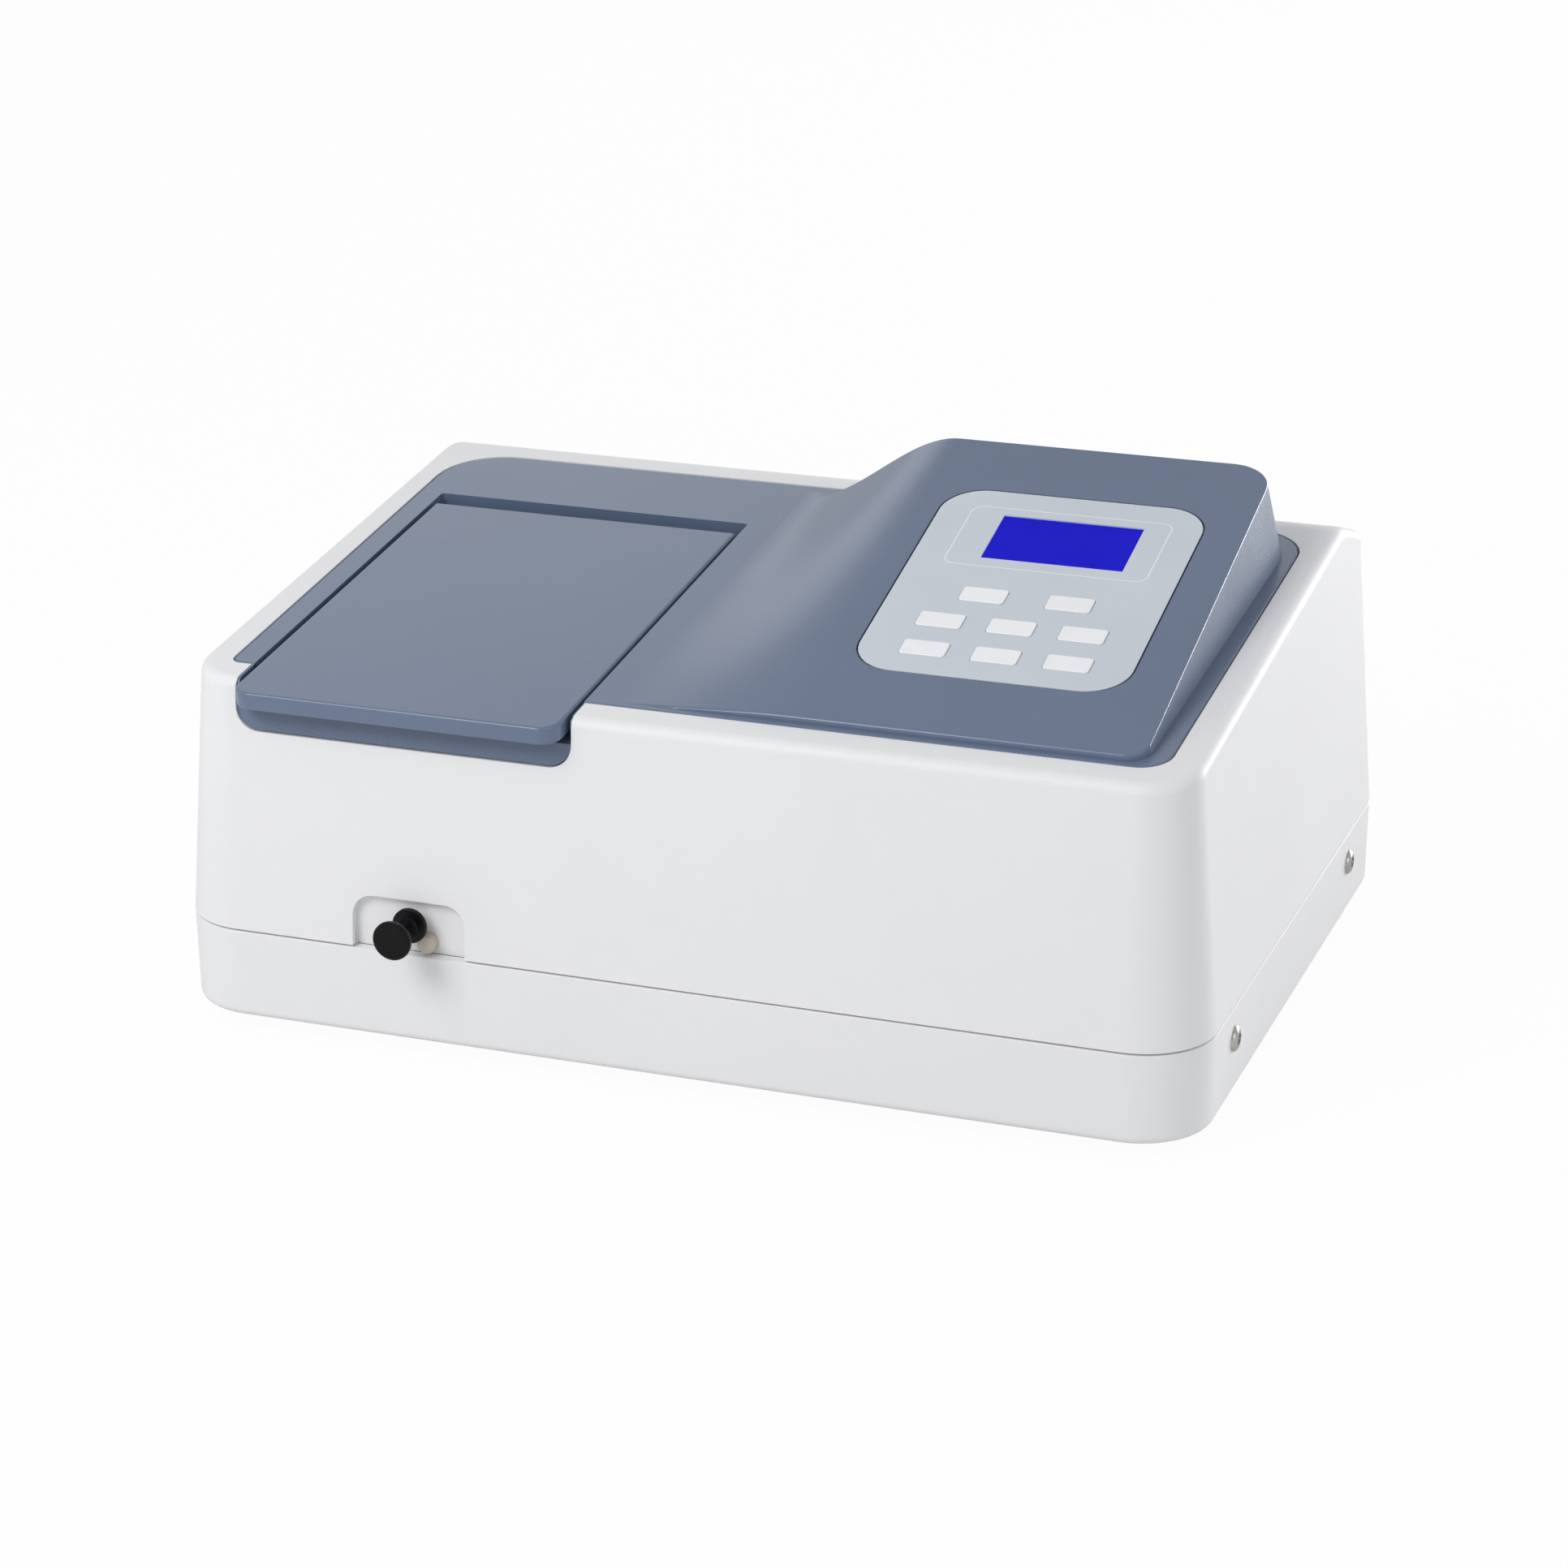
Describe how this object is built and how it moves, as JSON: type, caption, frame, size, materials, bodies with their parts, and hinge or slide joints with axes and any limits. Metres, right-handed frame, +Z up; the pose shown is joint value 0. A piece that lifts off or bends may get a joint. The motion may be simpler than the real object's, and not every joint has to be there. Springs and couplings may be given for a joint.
{
  "type": "uv-vis spectrophotometer",
  "caption": "Benchtop uv-vis spectrophotometer: hinged sample lid, raised sloping console with display and keys, and a pull rod that moves the cell carriage.",
  "frame": {"origin": "centre of the overall box at the feet's underside", "axes": "+X to the user's right, +Y to the back, +Z up; the lid and the pull knob face -Y"},
  "size_m": [0.4846, 0.382, 0.2335],
  "materials": {
    "case_white": "satin, fine texture",
    "cover_blue": "satin",
    "panel_grey": "satin film",
    "window_clear": "clear",
    "display_blue": "gloss",
    "board_green": "satin",
    "key_white": "satin",
    "knob_black": "gloss",
    "steel": "brushed",
    "plug_beige": "matte",
    "rubber_black": "matte",
    "black_metal": "matte",
    "aluminium": "satin",
    "brass": "satin",
    "motor_steel": "satin",
    "mirror": "polished",
    "lamp_glass": "clear",
    "rear_paint": "satin",
    "black_plastic": "satin"
  },
  "bodies": {
    "case": {"upper_case": "case_white", "base_tray": "case_white", "top_cover": "cover_blue", "control_panel": "panel_grey", "display_window": "window_clear", "display_module": "display_blue", "keypad_board": "board_green", "detector_board": "board_green", "main_board": "board_green", "power_supply": "board_green", "carriage_rails": "steel", "hinge_pins": "steel", "side_screws": "steel", "bench_bolts": "steel", "panel_screws": "steel", "fan_guard": "steel", "blanking_plug": "plug_beige", "rubber_feet": "rubber_black", "lid_seal": "rubber_black", "sample_well": "black_metal", "detector_housing": "black_metal", "beam_tube": "black_metal", "monochromator_box": "black_metal", "monochromator_cover": "black_metal", "slits": "black_metal", "optical_bench": "aluminium", "lamp_house": "aluminium", "rod_bush": "brass", "grating_motor": "motor_steel", "filter_motor": "motor_steel", "mirror_motor": "motor_steel", "transformer": "motor_steel", "mirrors": "mirror", "halogen_lamp": "lamp_glass", "deuterium_lamp": "lamp_glass", "rear_panel": "rear_paint", "data_port": "rear_paint", "fan_frame": "black_plastic", "power_inlet": "black_plastic", "switch_frame": "black_plastic", "fuse_holder": "black_plastic"},
    "lid": {"lid": "cover_blue"},
    "carriage": {"cell_carriage": "aluminium", "pull_rod": "steel", "pull_knob": "knob_black"},
    "grating": {"grating": "mirror"},
    "filter_wheel": {"filter_wheel": "aluminium"},
    "lamp_mirror": {"lamp_mirror": "mirror"},
    "fan_rotor": {"fan_rotor": "black_plastic"},
    "switch_rocker": {"switch_rocker": "black_plastic"},
    "key_1": {"key_1": "key_white"},
    "key_2": {"key_2": "key_white"},
    "key_3": {"key_3": "key_white"},
    "key_4": {"key_4": "key_white"},
    "key_5": {"key_5": "key_white"},
    "key_6": {"key_6": "key_white"},
    "key_7": {"key_7": "key_white"},
    "key_8": {"key_8": "key_white"}
  },
  "joints": [
    {"name": "lid_hinge", "type": "hinge", "parent": "case", "child": "lid", "pos_m": [-0.1244, 0.05525, 0.18414], "axis": [-1, 0, 0], "range_deg": [0, 90]},
    {"name": "carriage_slide", "type": "slide", "parent": "case", "child": "carriage", "axis": [0, -1, 0], "range_m": [0, 0.06]},
    {"name": "grating_turn", "type": "hinge", "parent": "case", "child": "grating", "pos_m": [0.04, -0.01905, 0.068], "axis": [0, 0, 1], "range_deg": [-20, 20]},
    {"name": "filter_wheel_turn", "type": "hinge", "parent": "case", "child": "filter_wheel", "pos_m": [0.053, 0.03295, 0.066], "axis": [0, 1, 0], "continuous": true},
    {"name": "lamp_mirror_turn", "type": "hinge", "parent": "case", "child": "lamp_mirror", "pos_m": [0.07, 0.09495, 0.066], "axis": [0, 0, 1], "range_deg": [0, 45]},
    {"name": "fan_spin", "type": "hinge", "parent": "case", "child": "fan_rotor", "pos_m": [0.06, 0.16595, 0.105], "axis": [0, 1, 0], "continuous": true},
    {"name": "power_rocker", "type": "hinge", "parent": "case", "child": "switch_rocker", "pos_m": [0.175, 0.17695, 0.123], "axis": [1, 0, 0], "range_deg": [-10, 10]},
    {"name": "key_1_press", "type": "slide", "parent": "case", "child": "key_1", "axis": [0, 0.2482, -0.9687], "range_m": [0, 0.001], "stiffness_N_per_m": 1500, "springref_m": -0.0004},
    {"name": "key_2_press", "type": "slide", "parent": "case", "child": "key_2", "axis": [0, 0.2482, -0.9687], "range_m": [0, 0.001], "stiffness_N_per_m": 1500, "springref_m": -0.0004},
    {"name": "key_3_press", "type": "slide", "parent": "case", "child": "key_3", "axis": [0, 0.2482, -0.9687], "range_m": [0, 0.001], "stiffness_N_per_m": 1500, "springref_m": -0.0004},
    {"name": "key_4_press", "type": "slide", "parent": "case", "child": "key_4", "axis": [0, 0.2482, -0.9687], "range_m": [0, 0.001], "stiffness_N_per_m": 1500, "springref_m": -0.0004},
    {"name": "key_5_press", "type": "slide", "parent": "case", "child": "key_5", "axis": [0, 0.2482, -0.9687], "range_m": [0, 0.001], "stiffness_N_per_m": 1500, "springref_m": -0.0004},
    {"name": "key_6_press", "type": "slide", "parent": "case", "child": "key_6", "axis": [0, 0.2482, -0.9687], "range_m": [0, 0.001], "stiffness_N_per_m": 1500, "springref_m": -0.0004},
    {"name": "key_7_press", "type": "slide", "parent": "case", "child": "key_7", "axis": [0, 0.2482, -0.9687], "range_m": [0, 0.001], "stiffness_N_per_m": 1500, "springref_m": -0.0004},
    {"name": "key_8_press", "type": "slide", "parent": "case", "child": "key_8", "axis": [0, 0.2482, -0.9687], "range_m": [0, 0.001], "stiffness_N_per_m": 1500, "springref_m": -0.0004}
  ]
}
